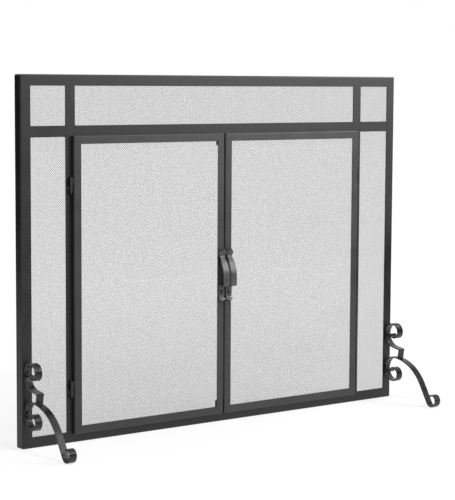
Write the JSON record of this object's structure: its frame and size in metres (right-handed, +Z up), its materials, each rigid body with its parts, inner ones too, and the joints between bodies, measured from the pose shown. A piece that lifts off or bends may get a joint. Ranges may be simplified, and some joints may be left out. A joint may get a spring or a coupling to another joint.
{
  "type": "fireplace screen",
  "caption": "Free-standing flat fireplace screen: steel angle frame with mesh panels, hinged mesh doors with strap handles, and scrolled feet.",
  "frame": {"origin": "centre of the bottom rail's underside, on the floor", "axes": "+X along the width, +Y from the room towards the fire, +Z up"},
  "size_m": [1.1176, 0.2178, 0.8382],
  "materials": {
    "powder_coat": "satin graphite-black powder coat over welded steel angle and flat bar",
    "forged_coat": "satin graphite-black powder coat over forged flat bar",
    "mesh_coat": "satin black coated steel mesh",
    "black_steel": "black painted turned steel",
    "catch_case": "matt black moulded catch case"
  },
  "bodies": {
    "screen_frame": {"frame_top_rail": "powder_coat", "frame_bottom_rail": "powder_coat", "frame_left_stile": "powder_coat", "frame_right_stile": "powder_coat", "centre_cross_rail": "powder_coat", "left_mullion": "powder_coat", "right_mullion": "powder_coat", "left_cross_rail": "powder_coat", "right_cross_rail": "powder_coat", "left_mesh_strip": "powder_coat", "right_mesh_strip": "powder_coat", "centre_mesh_strip": "powder_coat", "left_side_mesh": "mesh_coat", "right_side_mesh": "mesh_coat", "top_mesh": "mesh_coat", "upper_catch": "catch_case", "lower_catch": "catch_case", "left_upper_hinge_pin": "black_steel", "left_lower_hinge_pin": "black_steel", "right_upper_hinge_pin": "black_steel", "right_lower_hinge_pin": "black_steel", "left_leg": "forged_coat", "left_leg_scroll": "forged_coat", "left_leg_bolt": "black_steel", "left_leg_nut": "black_steel", "left_scroll_bolt": "black_steel", "left_scroll_nut": "black_steel", "right_leg": "forged_coat", "right_leg_scroll": "forged_coat", "right_leg_bolt": "black_steel", "right_leg_nut": "black_steel", "right_scroll_bolt": "black_steel", "right_scroll_nut": "black_steel"},
    "left_door": {"left_door_hinge_stile": "powder_coat", "left_door_meeting_stile": "powder_coat", "left_door_top_rail": "powder_coat", "left_door_bottom_rail": "powder_coat", "left_door_mesh": "mesh_coat", "left_upper_hinge_knuckle": "black_steel", "left_lower_hinge_knuckle": "black_steel", "left_handle": "forged_coat", "left_handle_screw": "black_steel"},
    "right_door": {"right_door_hinge_stile": "powder_coat", "right_door_meeting_stile": "powder_coat", "right_door_top_rail": "powder_coat", "right_door_bottom_rail": "powder_coat", "right_door_mesh": "mesh_coat", "right_upper_hinge_knuckle": "black_steel", "right_lower_hinge_knuckle": "black_steel", "right_handle": "forged_coat", "right_handle_screw": "black_steel"}
  },
  "joints": [
    {"name": "left_door_hinge", "type": "hinge", "parent": "screen_frame", "child": "left_door", "pos_m": [-0.4316, -0.0177, 0.36065], "axis": [0, 0, -1], "range_deg": [0, 110]},
    {"name": "right_door_hinge", "type": "hinge", "parent": "screen_frame", "child": "right_door", "pos_m": [0.4316, -0.0177, 0.36065], "axis": [0, 0, 1], "range_deg": [0, 110]}
  ]
}
